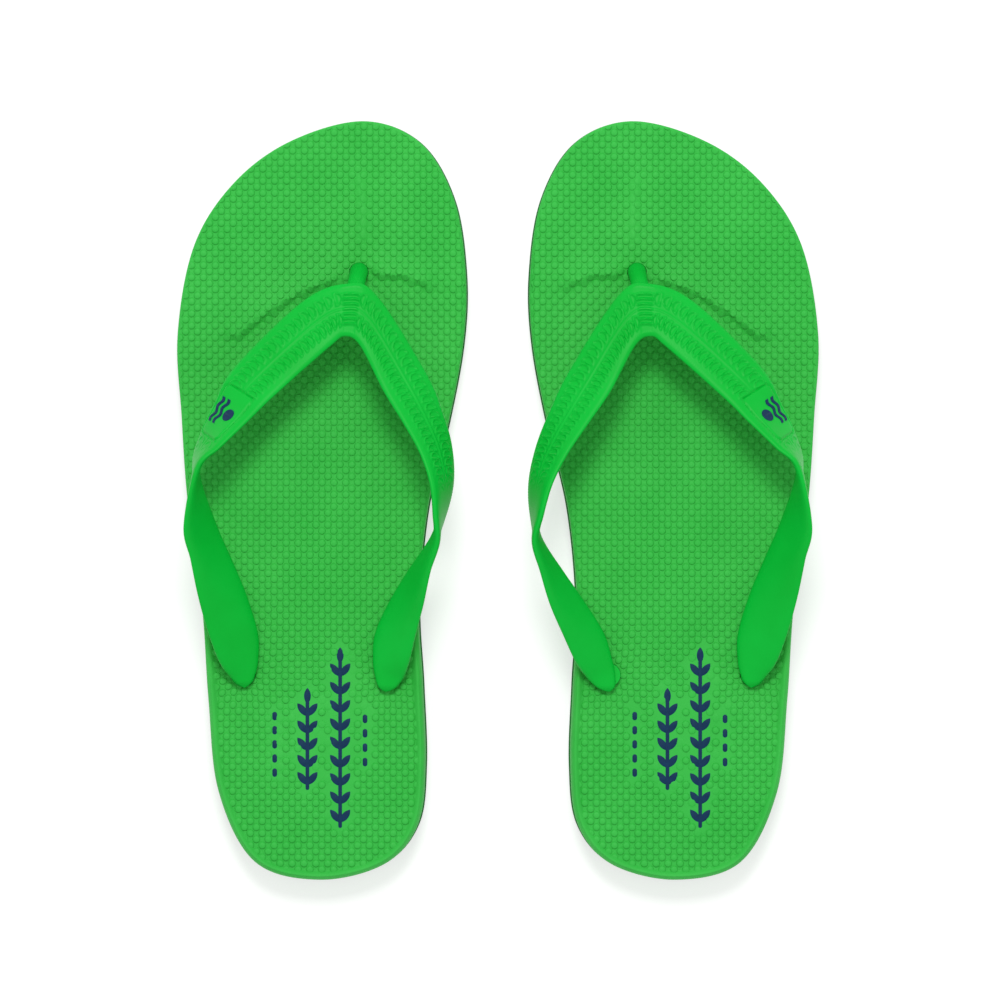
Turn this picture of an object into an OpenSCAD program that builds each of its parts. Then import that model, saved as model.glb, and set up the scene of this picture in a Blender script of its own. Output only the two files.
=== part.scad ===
// A pair of moulded thong flip flops, left and right, lying side by side.
// Origin: on the floor, at the middle of the pair. +Y points to the toes, +X to the wearer's right.
// Every sandal shape below is drawn for the right foot, from the back of the heel at y = 0.
// The left sandal is its mirror image.

/* [Sole] */
// Length of a sandal from heel to toe
sole_length = 292; // [262:1:312]
// Width of the forefoot
sole_width = 112; // [100:1:120]
// Height of the footbed under the toes
toe_height = 14; // [12:0.5:18]
// Height of the footbed under the heel
heel_height = 20; // [18:0.5:26]
// Thickness of the outsole
outsole_thickness = 4; // [4:0.5:6]
// Height of the rim round the heel above the footbed
rim_height = 1.5; // [0.5:0.1:2.5]
// Distance between the centre lines of the two sandals
pair_spacing = 135; // [125:1:220]

/* [Strap] */
// Thickness of the strap
strap_thickness = 3; // [2.5:0.1:4]
// Diameter of the toe post
post_diameter = 7.2; // [6:0.1:8]
// Diameter of the necks that go through the sole under the rear blades
neck_diameter = 9; // [8:0.1:10]
// Diameter of the retaining discs under the sole
disc_diameter = 20; // [16:0.5:22]
// Thickness of the retaining discs
disc_thickness = 3; // [2:0.1:3.4]
// Gap round a neck or a disc in its hole
hole_gap = 0.15; // [0.1:0.05:0.3]
// How far the inner arm of the left sandal bows inwards, past its moulded shape
left_inner_bow = 0; // [0:0.5:11]
// How far the inner arm of the right sandal bows inwards, past its moulded shape
right_inner_bow = 9.5; // [0:0.5:11]

/* [Marks] */
// Length of the emblem on the outer arm
emblem_length = 11; // [8:0.5:13]
// Thickness of the heel print
mark_thickness = 0.6; // [0.5:0.1:0.8]

/* [Tread] */
// Distance from one tread groove to the next
groove_pitch = 12; // [10:1:16]
// Width of a tread groove
groove_width = 3; // [2:0.5:4]
// Depth of a tread groove
groove_depth = 1.5; // [1:0.1:2]

/* [Hidden] */
$fn = 48;

sole_green = [0.16, 0.62, 0.22];
edge_green = [0.10, 0.48, 0.16];
strap_green = [0.02, 0.68, 0.22];
print_blue = [0.04, 0.20, 0.36];

left = -1;
right = 1;

// The shapes are drawn 292 long and 112 wide, then scaled to the driving dimensions.
drawn_length = 292;
drawn_width = 112;
stretch = [sole_width / drawn_width, sole_length / drawn_length];

// Outline of the sole: heel, inner side, toe, outer side.
outline_anchors = [
  [1, 0], [-24, 6], [-37, 21], [-40, 44], [-39, 75], [-37.5, 106], [-41, 143],
  [-49, 176], [-54.5, 206], [-55.5, 232], [-51, 261], [-38, 283], [-16, 291.5],
  [12, 284], [34, 268], [49.5, 244], [56, 210], [54.5, 178], [52, 145],
  [46.5, 106], [44, 70], [40, 34], [26, 7]
];
steps_per_anchor = 4;

// Where the strap goes through the sole.
toe_hole = [-14, 233];
inner_hole = [-25, 79];
outer_hole = [30, 79];
holes = [toe_hole, inner_hole, outer_hole];

// Footbed profile along its length: a level heel, then a slope down to a level forefoot.
heel_level_end = 105;
toe_level_start = 200;
// The heel rim is full height up to rim_full_end and has faded out at rim_end.
rim_full_end = 66;
rim_end = 112;

// Inset and height of the rings that round the footbed's edge: [inset, drop below the top, share of rim].
edge_rings = [[0.2, 2.6, 0.6], [0.8, 0.8, 0.9], [2.2, 0, 1], [4.2, 0, 0.6], [7, 0, 0]];
inner_rings = [0.75, 0.5, 0.25];
footbed_middle = [0, 150];

// Toe grips: the raised crests under the toes, each as [points, width, height].
toe_grips = [
  [[[36, 207], [16, 220], [-4, 230], [-9, 233]], 9, 1.2],
  [[[-19, 235], [-27, 235], [-36, 231], [-43, 225]], 9, 1.2],
  [[[-15, 243], [-15.5, 252], [-15, 262], [-14, 271]], 7, 1]
];
grip_sunk = 0.6;

// Rails of the strap as [x, y, height above the footbed], from the apex over the toe post to the tip
// of each rear blade. The upper rail is the inside of the V. It crosses over the lower one at the twist.
apex_upper = [-9.5, 207.6, 28];
apex_lower = [-9.5, 227.7, 23.5];
outer_upper = [
  [-3, 204.6, 29], [17.2, 185, 33], [27.5, 174.9, 36.5], [37.2, 165.6, 39.5], [45.5, 157.6, 40.2],
  [50.7, 136, 34.5], [48.5, 123, 27.5], [46, 109, 21], [42.5, 95, 14.8],
  [38.7, 84, 9], [35, 78.6, 5], [32.4, 75.7, 2.9], [30, 74.3, 2]
];
outer_lower = [
  [7, 220.8, 23], [32.5, 196, 23.5], [40.2, 182, 22.5], [45, 171, 22], [47.3, 158, 20.5],
  [40, 137, 14.5], [34, 123, 10], [28.7, 110, 6], [24.3, 95, 3],
  [24.2, 85, 2.2], [25.2, 79.8, 1.9], [26.9, 76, 1.8], [29, 74.3, 1.8]
];
inner_upper = [
  [-15.3, 203.8, 29.3], [-24, 187, 32.5], [-31.5, 175, 36], [-38, 163.5, 39], [-42, 152, 40.5],
  [-43.5, 140, 39.5], [-44.6, 130, 35.5], [-41.5, 119, 29.5], [-39, 106.5, 22.5], [-36, 94.5, 15.5],
  [-33.5, 84, 9.5], [-31.5, 78.5, 5.2], [-28.5, 74.3, 3], [-25.3, 72.7, 2]
];
inner_lower = [
  [-21, 223.7, 23], [-40, 194, 23], [-46.3, 179, 23.5], [-49.7, 166, 23], [-50.2, 153, 23],
  [-47.2, 141, 20.3], [-42, 130.5, 16], [-33, 118, 10.5], [-26, 107, 6.2], [-20.5, 95, 3.5],
  [-19.6, 85, 2.4], [-20.3, 79, 2], [-21.6, 74.6, 1.8], [-24, 72.7, 1.8]
];
steps_per_rail = 3;
// A bow is greatest at one rail point and dies away over some points either way: [point, spread].
bow_place = [6.8, 3.5];

// The toe post is straight up to post_straight above the footbed. Its bend starts inside that stretch.
post_straight = 0.5;
post_route = [[-14, 233, -3], [-14, 232.8, 2], [-13.5, 229, 12], [-12.6, 223.6, 20.3], [-12.4, 223.2, 24]];
rod_sides = 16;
// The necks end inside the blades, this far above the footbed.
neck_top = 2.6;

// The emblem: a sun over two waves, on the badge plate of the outer arm.
emblem_rail_point = 3;
emblem_ring = round((len(inner_upper) + emblem_rail_point) * steps_per_rail);
emblem_proud = 0.3;
// Middle of the emblem: how far towards the apex, and how far towards the inside of the V.
emblem_middle = [-1.3, -1.5];
// The layer the emblem lies in: how far it reaches across the strap, and how deep it goes.
emblem_reach = 7;
emblem_depth = 0.8;
sun_diameter = 5.2;
sun_height = 3.1;
wave_heights = [-1.4, -4.4];
wave_width = 1.7;
wave_swing = 0.6;
wave_steps = 24;

// The heel print: two leaf fronds [x, start, length, pairs of leaves] and two rows of dashes
// [x, start, length, count]. It reads the same way on both sandals. print_offsets moves it across,
// left then right.
fronds = [[-5.5, 35, 39, 5], [7, 20.5, 69, 9]];
dash_rows = [[-18, 40, 27, 5], [16.5, 44, 22, 4]];
print_offsets = [0, 3];
stem_width = 1.4;
leaf_length = 6.2;
leaf_width = 2.6;
leaf_angle = 38;
dash_width = 1.8;
dash_share = 0.6;
mark_sunk = 0.4;

function unit(v) = v / norm(v);
function smooth(t) = let (c = min(1, max(0, t))) c * c * (3 - 2 * c);

// Catmull-Rom curve through b and c, with a and d on either side.
function curve(a, b, c, d, t) =
  0.5 * (2 * b + (c - a) * t + (2 * a - 5 * b + 4 * c - d) * t * t + (3 * b - 3 * c + d - a) * t * t * t);

function closed_curve(p, steps) = let (n = len(p)) [
  for (i = [0:n - 1], s = [0:steps - 1])
    curve(p[(i + n - 1) % n], p[i], p[(i + 1) % n], p[(i + 2) % n], s / steps)
];

function open_curve(p, steps) = let (n = len(p)) [
  for (i = [0:n - 2], s = [0:steps - 1])
    curve(p[max(0, i - 1)], p[i], p[i + 1], p[min(n - 1, i + 2)], s / steps),
  p[n - 1]
];

function stretched(p) = [p.x * stretch.x, p.y * stretch.y];

outline = [for (p = closed_curve(outline_anchors, steps_per_anchor)) stretched(p)];
outline_count = len(outline);
outline_y = [for (p = outline) p.y];
outline_x = [for (p = outline) p.x];
middle_y = (min(outline_y) + max(outline_y)) / 2;
middle_x = (min(outline_x) + max(outline_x)) / 2;

// Shift of the inner arm where it bows most.
function inner_bow(side) = [side == left ? -left_inner_bow : -right_inner_bow, 0, 0];

// The outline, moved inwards by a distance.
function inset_point(i, distance) =
  let (
    before = outline[(i + outline_count - 1) % outline_count],
    after = outline[(i + 1) % outline_count],
    along = unit(after - before)
  )
  outline[i] + distance * [along.y, -along.x];

function footbed_top(y) =
  toe_height + (heel_height - toe_height)
    * smooth((toe_level_start - y / stretch.y) / (toe_level_start - heel_level_end));

function rim_at(y) = rim_height * smooth((rim_end - y / stretch.y) / (rim_end - rim_full_end));

function footbed_point(p, drop, rim_share) =
  [p.x, p.y, footbed_top(p.y) - drop + rim_share * rim_at(p.y)];

// A closed solid through rings of points, with flat ends. Seen from the last ring, the points of a ring
// go round clockwise.
module ring_solid(rings) {
  ring_count = len(rings);
  sides = len(rings[0]);
  points = [for (ring = rings, p = ring) p];
  walls = [
    for (r = [0:ring_count - 2], s = [0:sides - 1])
      let (next = (s + 1) % sides)
      each [
        [r * sides + s, r * sides + next, (r + 1) * sides + next],
        [r * sides + s, (r + 1) * sides + next, (r + 1) * sides + s]
      ]
  ];
  first_end = [for (s = [sides - 1:-1:0]) s];
  last_end = [for (s = [0:sides - 1]) (ring_count - 1) * sides + s];
  polyhedron(points = points, faces = concat(walls, [first_end, last_end]));
}

// Footbed: a wall, a rounded edge, and a top that follows the profile.
module footbed_blank() {
  foot = [for (i = [0:outline_count - 1]) [outline[i].x, outline[i].y, outsole_thickness]];
  edges = [
    for (ring = edge_rings)
      [for (i = [0:outline_count - 1]) footbed_point(inset_point(i, ring[0]), ring[1], ring[2])]
  ];
  last_inset = edge_rings[len(edge_rings) - 1][0];
  inners = [
    for (share = inner_rings)
      [
        for (i = [0:outline_count - 1])
          footbed_point(footbed_middle + share * (inset_point(i, last_inset) - footbed_middle), 0, 0)
      ]
  ];
  rings = concat([foot], edges, inners);
  ring_count = len(rings);
  n = outline_count;
  middle = footbed_point(footbed_middle, 0, 0);
  points = concat([for (ring = rings, p = ring) p], [middle]);
  walls = [
    for (r = [0:ring_count - 2], i = [0:n - 1])
      let (next = (i + 1) % n)
      each [
        [r * n + i, r * n + next, (r + 1) * n + next],
        [r * n + i, (r + 1) * n + next, (r + 1) * n + i]
      ]
  ];
  last = (ring_count - 1) * n;
  crown = [for (i = [0:n - 1]) [last + i, last + (i + 1) % n, last + n]];
  base = [for (i = [n - 1:-1:0]) i];
  polyhedron(points = points, faces = concat(walls, crown, [base]));
}

// One raised toe grip, a low ridge that fades out at both ends.
module toe_grip(points, width, height) {
  path = open_curve(points, 4);
  count = len(path);
  rings = [
    for (i = [0:count - 1])
      let (
        along = unit(path[min(count - 1, i + 1)] - path[max(0, i - 1)]),
        across = [along.y, -along.x] * width / 2,
        fade = 0.25 + 0.75 * sin(180 * i / (count - 1)),
        p = path[i],
        base = footbed_top(p.y) - grip_sunk,
        crest = footbed_top(p.y) + height * fade
      )
      [
        [p.x + across.x * fade, p.y + across.y * fade, base],
        [p.x + across.x * fade * 0.3, p.y + across.y * fade * 0.3, crest],
        [p.x - across.x * fade * 0.3, p.y - across.y * fade * 0.3, crest],
        [p.x - across.x * fade, p.y - across.y * fade, base]
      ]
  ];
  ring_solid(rings);
}

// A neck hole or disc pocket at each place where the strap goes through.
module sole_holes(diameters) {
  for (i = [0:2])
    translate(concat(stretched(holes[i]), [-1]))
      cylinder(h = heel_height + 10, d = diameters[i] + 2 * hole_gap);
}

module footbed(side) {
  color(sole_green)
    difference() {
      union() {
        footbed_blank();
        for (grip = toe_grips)
          toe_grip(grip[0], grip[1], grip[2]);
      }
      sole_holes([post_diameter, neck_diameter, neck_diameter]);
      printed(side)
        print_shape(side);
    }
}

// Cross grooves of the tread, kept clear of the disc pockets.
module tread_grooves() {
  groove_ends = [24, sole_length - 20];
  clear_of_hole = disc_diameter / 2 + groove_width;
  for (y = [groove_ends[0]:groove_pitch:groove_ends[1]])
    if (min([for (hole = holes) abs(y - stretched(hole).y)]) > clear_of_hole)
      translate([-sole_width, y - groove_width / 2, -1])
        cube([2 * sole_width, groove_width, groove_depth + 1]);
}

module outsole() {
  color(edge_green)
    difference() {
      linear_extrude(outsole_thickness)
        polygon(outline);
      tread_grooves();
      sole_holes([disc_diameter, disc_diameter, disc_diameter]);
    }
}

function above_footbed(p) = [stretched(p).x, stretched(p).y, footbed_top(stretched(p).y) + p.z];

function bowed(rail, shift) =
  [for (i = [0:len(rail) - 1]) rail[i] + shift * exp(-pow((i - bow_place[0]) / bow_place[1], 2))];
function reversed(list) = [for (i = [len(list) - 1:-1:0]) list[i]];

// A rail of the whole strap, from the tip of the inner blade over the apex to the tip of the outer one.
function whole_rail(inner, apex, outer, side) =
  let (inner_arm = bowed(inner, inner_bow(side)))
  [for (p = open_curve(concat(reversed(inner_arm), [apex], outer), steps_per_rail)) above_footbed(p)];
function upper_rail(side) = whole_rail(inner_upper, apex_upper, outer_upper, side);
function lower_rail(side) = whole_rail(inner_lower, apex_lower, outer_lower, side);

// Directions of the strap at one ring: along it, across it, and out of its outer face.
function strap_axes(upper, lower, i) =
  let (
    before = max(0, i - 1),
    after = min(len(upper) - 1, i + 1),
    along = unit(upper[after] + lower[after] - upper[before] - lower[before]),
    across = unit(upper[i] - lower[i]),
    out = unit(cross(across, along))
  )
  [unit(cross(out, across)), across, out];

// One ring of the strap: eight points round a band with softened edges.
function strap_ring(upper, lower, i) =
  let (
    axes = strap_axes(upper, lower, i),
    middle = (upper[i] + lower[i]) / 2,
    half = norm(upper[i] - lower[i]) / 2,
    rise = strap_thickness / 2,
    shoulder = max(0.4 * half, half - rise),
    section = [[half, 0.4 * rise], [shoulder, rise], [-shoulder, rise], [-half, 0.4 * rise]]
  )
  concat(
    [for (p = section) middle + p[0] * axes[1] + p[1] * axes[2]],
    [for (p = section) middle - p[0] * axes[1] - p[1] * axes[2]]
  );

module strap_band(side) {
  upper = upper_rail(side);
  lower = lower_rail(side);
  ring_solid([for (i = [0:len(upper) - 1]) strap_ring(upper, lower, i)]);
}

// One ring of a round rod that points along a direction.
function rod_ring(middle, along, radius) =
  let (
    side = unit([1, 0, 0] - along.x * along),
    back = cross(along, side)
  )
  [
    for (k = [0:rod_sides - 1])
      let (turn = -360 * k / rod_sides)
      middle + radius * (cos(turn) * side + sin(turn) * back)
  ];

// The toe post is straight in its hole, and bends back to the strap above it.
module toe_post() {
  hole = above_footbed(concat(toe_hole, [0]));
  translate([hole.x, hole.y, outsole_thickness])
    cylinder(h = hole.z + post_straight - outsole_thickness, d = post_diameter);
  path = open_curve([for (p = post_route) above_footbed(p)], steps_per_rail);
  last = len(path) - 1;
  ring_solid([
    for (i = [0:last])
      rod_ring(path[i], unit(path[min(last, i + 1)] - path[max(0, i - 1)]), post_diameter / 2 - 0.05)
  ]);
}

module neck(hole) {
  translate([hole.x, hole.y, outsole_thickness])
    cylinder(h = footbed_top(hole.y) + neck_top - outsole_thickness, d = neck_diameter);
}

module retaining_disc(hole) {
  translate([hole.x, hole.y, outsole_thickness - disc_thickness])
    cylinder(h = disc_thickness, d = disc_diameter);
}

module strap(side) {
  color(strap_green)
    difference() {
      union() {
        strap_band(side);
        toe_post();
        neck(stretched(inner_hole));
        neck(stretched(outer_hole));
        for (hole = holes)
          retaining_disc(stretched(hole));
      }
      emblem_shape(side);
    }
}

// A line of one width that swings from side to side along X.
module wave() {
  line = [
    for (i = [0:wave_steps])
      let (along = i / wave_steps - 0.5)
      [emblem_length * along, wave_swing * sin(720 * along)]
  ];
  edge = [0, wave_width / 2];
  polygon(concat([for (p = line) p - edge], [for (p = reversed(line)) p + edge]));
}

module emblem_outline() {
  translate([0, sun_height])
    circle(d = sun_diameter);
  for (height = wave_heights)
    translate([0, height])
      wave();
}

// The layer of the strap's outer face that the emblem lies in. It follows the strap's twist.
module emblem_layer(side) {
  upper = upper_rail(side);
  lower = lower_rail(side);
  high = strap_thickness / 2 + emblem_proud;
  low = strap_thickness / 2 - emblem_depth;
  section = [[emblem_reach, high], [-emblem_reach, high], [-emblem_reach, low], [emblem_reach, low]];
  ring_solid([
    for (i = [emblem_ring - 2:emblem_ring + 3])
      let (axes = strap_axes(upper, lower, i))
      [
        for (p = section)
          (upper[i] + lower[i]) / 2 + (p[0] + emblem_middle[1]) * axes[1] + p[1] * axes[2]
      ]
  ]);
}

module emblem_shape(side) {
  upper = upper_rail(side);
  lower = lower_rail(side);
  i = emblem_ring;
  axes = strap_axes(upper, lower, i);
  origin = (upper[i] + lower[i]) / 2;
  intersection() {
    emblem_layer(side);
    multmatrix([for (k = [0:2]) [-axes[0][k], axes[1][k], axes[2][k], origin[k]]])
      translate(emblem_middle)
        linear_extrude(2 * strap_thickness)
          emblem_outline();
  }
}

module emblem(side) {
  color(print_blue)
    emblem_shape(side);
}

// The left sandal is mirrored as a whole, so its print is mirrored back.
module printed(side) {
  mirror([side == left ? 1 : 0, 0, 0])
    children();
}

// A flat bar with round ends, lying along Y from the origin.
module round_bar(length, width) {
  translate([-width / 2, width / 2, 0])
    cube([width, length - width, mark_thickness]);
  for (end = [width / 2, length - width / 2])
    translate([0, end, 0])
      cylinder(h = mark_thickness, d = width);
}

// A pointed leaf, lying along Y from the origin: the overlap of two discs.
module leaf() {
  radius = (pow(leaf_length, 2) + pow(leaf_width, 2)) / (4 * leaf_width);
  intersection_for (side = [-1, 1])
    translate([side * (radius - leaf_width / 2), leaf_length / 2, 0])
      cylinder(h = mark_thickness, r = radius, $fn = 96);
}

// A stem with pairs of leaves and one leaf at its tip.
module frond(start, length, pairs) {
  pitch = (length - leaf_length) / pairs;
  translate(concat(start, [0])) {
    round_bar(length - leaf_length / 2, stem_width);
    translate([0, length - leaf_length, 0])
      leaf();
    for (pair = [0:pairs - 1], side = [-1, 1])
      translate([0, (pair + 0.3) * pitch, 0])
        rotate(side * leaf_angle)
          leaf();
  }
}

module dash_row(start, length, count) {
  pitch = length / count;
  for (dash = [0:count - 1])
    translate([start.x, start.y + dash * pitch, 0])
      round_bar(pitch * dash_share, dash_width);
}

module print_shape(side) {
  translate([print_offsets[side == left ? 0 : 1], 0, heel_height - mark_sunk]) {
    for (f = fronds)
      frond([f[0], f[1]], f[2], f[3]);
    for (row = dash_rows)
      dash_row([row[0], row[1]], row[2], row[3]);
  }
}

module heel_print(side) {
  color(print_blue)
    printed(side)
      print_shape(side);
}

// Puts a sandal's piece in its place. The left one is mirrored.
module placed(side) {
  translate([side * (pair_spacing / 2 - middle_x), -middle_y, 0])
    mirror([side == left ? 1 : 0, 0, 0])
      children();
}

placed(left) footbed(left);  // left_footbed
placed(left) outsole();  // left_outsole
placed(left) strap(left);  // left_strap
placed(left) emblem(left);  // left_emblem
placed(left) heel_print(left);  // left_heel_print
placed(right) footbed(right);  // right_footbed
placed(right) outsole();  // right_outsole
placed(right) strap(right);  // right_strap
placed(right) emblem(right);  // right_emblem
placed(right) heel_print(right);  // right_heel_print
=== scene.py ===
"""The looks of a pair of moulded thong flip flops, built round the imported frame.

Shapes are drawn in millimetres for the right foot, from the back of the heel at y = 0 and with the
inner side of the foot towards -x. place() puts them in the row frame, and mirrors the left sandal.
"""

import math

import bpy
import numpy as np
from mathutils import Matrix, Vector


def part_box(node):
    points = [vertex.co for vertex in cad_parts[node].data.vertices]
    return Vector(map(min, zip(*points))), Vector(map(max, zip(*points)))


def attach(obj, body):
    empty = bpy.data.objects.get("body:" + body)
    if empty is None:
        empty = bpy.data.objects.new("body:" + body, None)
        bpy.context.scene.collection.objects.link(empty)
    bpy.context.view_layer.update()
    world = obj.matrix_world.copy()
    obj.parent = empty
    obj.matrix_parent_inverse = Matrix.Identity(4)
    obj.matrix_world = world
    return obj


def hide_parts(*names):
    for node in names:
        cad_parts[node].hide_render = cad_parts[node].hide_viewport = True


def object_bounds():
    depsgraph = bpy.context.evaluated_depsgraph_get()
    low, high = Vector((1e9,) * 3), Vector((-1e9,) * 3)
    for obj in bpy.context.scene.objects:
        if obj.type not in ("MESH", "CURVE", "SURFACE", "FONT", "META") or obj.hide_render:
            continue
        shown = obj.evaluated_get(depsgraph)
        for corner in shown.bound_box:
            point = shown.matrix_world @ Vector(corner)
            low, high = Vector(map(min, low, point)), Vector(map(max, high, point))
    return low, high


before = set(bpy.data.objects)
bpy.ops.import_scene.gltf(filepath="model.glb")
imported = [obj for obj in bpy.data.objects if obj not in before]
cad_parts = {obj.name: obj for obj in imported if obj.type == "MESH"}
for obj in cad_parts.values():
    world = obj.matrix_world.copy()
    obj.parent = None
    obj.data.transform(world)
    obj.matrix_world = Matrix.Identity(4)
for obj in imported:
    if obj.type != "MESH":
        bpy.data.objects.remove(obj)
cad_low, cad_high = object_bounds()

MM = 0.001
LEFT, RIGHT = -1, 1
SIDE_NAMES = {LEFT: "left", RIGHT: "right"}

# Outline of the sole: heel, inner side, toe, outer side.
OUTLINE_ANCHORS = [
    (1, 0), (-24, 6), (-37, 21), (-40, 44), (-39, 75), (-37.5, 106), (-41, 143),
    (-49, 176), (-54.5, 206), (-55.5, 232), (-51, 261), (-38, 283), (-16, 291.5),
    (12, 284), (34, 268), (49.5, 244), (56, 210), (54.5, 178), (52, 145),
    (46.5, 106), (44, 70), (40, 34), (26, 7),
]
OUTLINE_STEPS = 16

# Where the strap goes through the sole.
TOE_HOLE = np.array([-14, 233])
INNER_HOLE = np.array([-25, 79])
OUTER_HOLE = np.array([30, 79])
HOLES = [TOE_HOLE, INNER_HOLE, OUTER_HOLE]

# Heights. The outsole's comes from the frame, and the footbed's are named as in the part's source.
OUTSOLE_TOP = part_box("right_outsole")[1].z / MM
HEEL_HEIGHT = 20
TOE_HEIGHT = 14
HEEL_LEVEL_END = 105
TOE_LEVEL_START = 200
RIM_HEIGHT = 1.5
RIM_FULL_END = 66
RIM_END = 112
# The footbed stands this far inside the outsole's edge, which shows as a thin darker line: the outsole's
# darker green is painted shade for the shaded sidewall.
EDGE_STEP = 0.5

# The bumps: a lattice of diamond cells with a round flat-topped bump in each.
BUMP_PITCH = 4.55
BUMP_ROW = 2.31
BUMP_HEIGHT = 0.7
BUMP_SIDES = 12
BUMP_RINGS = [(1.02, 1.0), (1.28, 0.74), (1.5, 0.0)]  # (radius, share of the height)
# Bumps fade in from the first distance over the second: from the heel's edge, the toe post, the print.
EDGE_CLEARING = (1.5, 2.5)
POST_CLEARING = (3.4, 1.0)
PRINT_CLEARING = (1.7, 1.3)
LOWEST_BUMP = 0.04  # share of the full height

# Toe grips: (crest, reach towards the toe, reach towards the heel, height, share of bumps left).
TOE_GRIPS = [
    ([(37, 208.5), (31, 210), (21, 217.7), (6, 226.4), (-9, 231.3)], 5.5, 1.4, 2.0, 1.0),
    ([(-18, 233.5), (-24, 232.3), (-30, 232), (-36, 230), (-43, 227)], 5.0, 1.4, 1.8, 1.0),
    ([(-15, 243), (-15.5, 252), (-15, 262), (-14, 271)], 1.5, 1.5, 0.75, 0.15),
]

# The strap's blades press the foam down round their necks and pull the bumps towards them.
DIMPLE_DEPTH = 1.2
DIMPLE_REACH = 10
PULL = 1.6
PULL_REACH = 13

# Rails of the strap as (x, y, height above the footbed), from the apex over the toe post to the tip
# of each rear blade. The upper rail is the inside of the V. It crosses over the lower one at the twist.
APEX_UPPER = (-9.5, 207.6, 28)
APEX_LOWER = (-9.5, 227.7, 23.5)
OUTER_UPPER = [
    (-3.4, 203.4, 29), (17.2, 185, 33), (27.5, 174.9, 36.5), (37.2, 165.6, 39.5), (45.5, 157.6, 40.2),
    (50.7, 136, 34.5), (48.5, 123, 27.5), (46, 109, 21), (42.5, 95, 14.8),
    (38.7, 84, 9), (35, 78.6, 5), (32.4, 75.7, 2.9), (30, 74.3, 2),
]
OUTER_LOWER = [
    (7, 220.8, 23), (32.5, 196, 23.5), (40.2, 182, 22.5), (45, 171, 22), (47.3, 158, 20.5),
    (40, 137, 14.5), (34, 123, 10), (28.7, 110, 6), (24.3, 95, 3),
    (24.2, 85, 2.2), (25.2, 79.8, 1.9), (26.9, 76, 1.8), (29, 74.3, 1.8),
]
INNER_UPPER = [
    (-15.3, 203.8, 29.3), (-24, 187, 32.5), (-31.5, 175, 36), (-38, 163.5, 39), (-42, 152, 40.5),
    (-43.5, 140, 39.5), (-44.6, 130, 35.5), (-41.5, 119, 29.5), (-39, 106.5, 22.5), (-36, 94.5, 15.5),
    (-33.5, 84, 9.5), (-31.5, 78.5, 5.2), (-28.5, 74.3, 3), (-25.3, 72.7, 2),
]
INNER_LOWER = [
    (-21, 223.7, 23), (-40, 194, 23), (-46.3, 179, 23.5), (-49.7, 166, 23), (-50.2, 153, 23),
    (-47.2, 141, 20.3), (-42, 130.5, 16), (-33, 118, 10.5), (-26, 107, 6.2), (-20.5, 95, 3.5),
    (-19.6, 85, 2.4), (-20.3, 79, 2), (-21.6, 74.6, 1.8), (-24, 72.7, 1.8),
]
# How far the inner arm bows inwards, and where along its rail points: point, spread.
INNER_BOWS = {LEFT: 0, RIGHT: 9.5}
BOW_PLACE = (6.8, 3.5)

STRAP_RISE = 1.5  # half of its thickness
CROWN_POWER = 5
FACE_POINTS = 66
BACK_POINTS = 12
FINE_STEP = 0.33
COARSE_STEP = 0.6
RELIEF_END = 92
TIP_TAPER = 2.5

# Embossing: two rows of half-moon scales on each arm, a spine between them, and bars over the apex.
SCALE_PITCH = 3.13
SCALE_START = 5.6
SCALE_BULGE = 3.3
SCALE_LEAN = 0.085
SCALE_HEIGHT = 0.38
SCALE_DISH = 0.54
SCALE_ROWS = 0.41  # how far from the spine, as a share of the half width
SPINE_HEIGHT = 0.28
SPINE_WIDTH = 0.35
BAR_PITCH = 1.93
BAR_REACH = 2.7
BAR_WIDTH = 0.45
BAR_HEIGHT = 0.75
BAR_VALLEY = 0.2  # share of the bars' height that their ground lies lower
RIB_PITCH = 1.05
RIB_HEIGHT = 0.1
RIB_PLACE = 0.87  # share of the half width
RELIEF_MIDDLE = -2  # the embossing is laid out from here, a little way onto the inner arm
RELIEF_EDGE = 0.86  # share of the half width

POST_RADIUS = 3.6
POST_ROUTE = [(-14, 233, -3), (-14, 232.8, 2), (-13.5, 229, 12), (-12.6, 223.6, 20.3), (-12.4, 223.2, 24)]
NECK_RADIUS = 4.5
NECK_TOP = 1.8
DISC_RADIUS = 10
DISC_THICKNESS = 3
HOLE_GAP = 0.15

# The badge plate on the outer arm, and the emblem on it: a sun over two waves.
PLATE_LENGTH = 20.5
PLATE_WIDTH = 14.2
PLATE_CORNER = 2
PLATE_ANCHOR = 3
PLATE_SHIFT = 1.3
PLATE_OFFSET = -0.9
PLATE_HEIGHT = 0.14
PLATE_GROOVE = 0.55
EMBLEM_OFFSET = -1.5
EMBLEM_LENGTH = 11
SUN_RADIUS = 2.6
SUN_HEIGHT = 3.1
WAVE_HEIGHTS = (-1.4, -4.4)
WAVE_WIDTH = 1.7
WAVE_SWING = 0.6

# The heel print: fronds as (x, start, length, pairs of leaves), and rows of dashes as
# (x, start, length, count).
FRONDS = [(-5.5, 35, 39, 5), (7, 20.5, 69, 9)]
DASH_ROWS = [(-18, 40, 27, 5), (16.5, 44, 22, 4)]
PRINT_OFFSETS = {LEFT: 0, RIGHT: 3}
STEM_WIDTH = 1.4
LEAF_LENGTH = 6.2
LEAF_WIDTH = 2.6
LEAF_ANGLE = 38
DASH_WIDTH = 1.8
DASH_SHARE = 0.6

# Tread on the underside.
GROOVE_PITCH = 12
GROOVE_WIDTH = 3
GROOVE_DEPTH = 1.5
GROOVE_ENDS = (24, 272)


# Curves and profiles

def smooth(t):
    c = np.clip(t, 0, 1)
    return c * c * (3 - 2 * c)


def catmull_rom(a, b, c, d, t):
    return 0.5 * (2 * b + (c - a) * t + (2 * a - 5 * b + 4 * c - d) * t**2 + (3 * b - 3 * c + d - a) * t**3)


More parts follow.
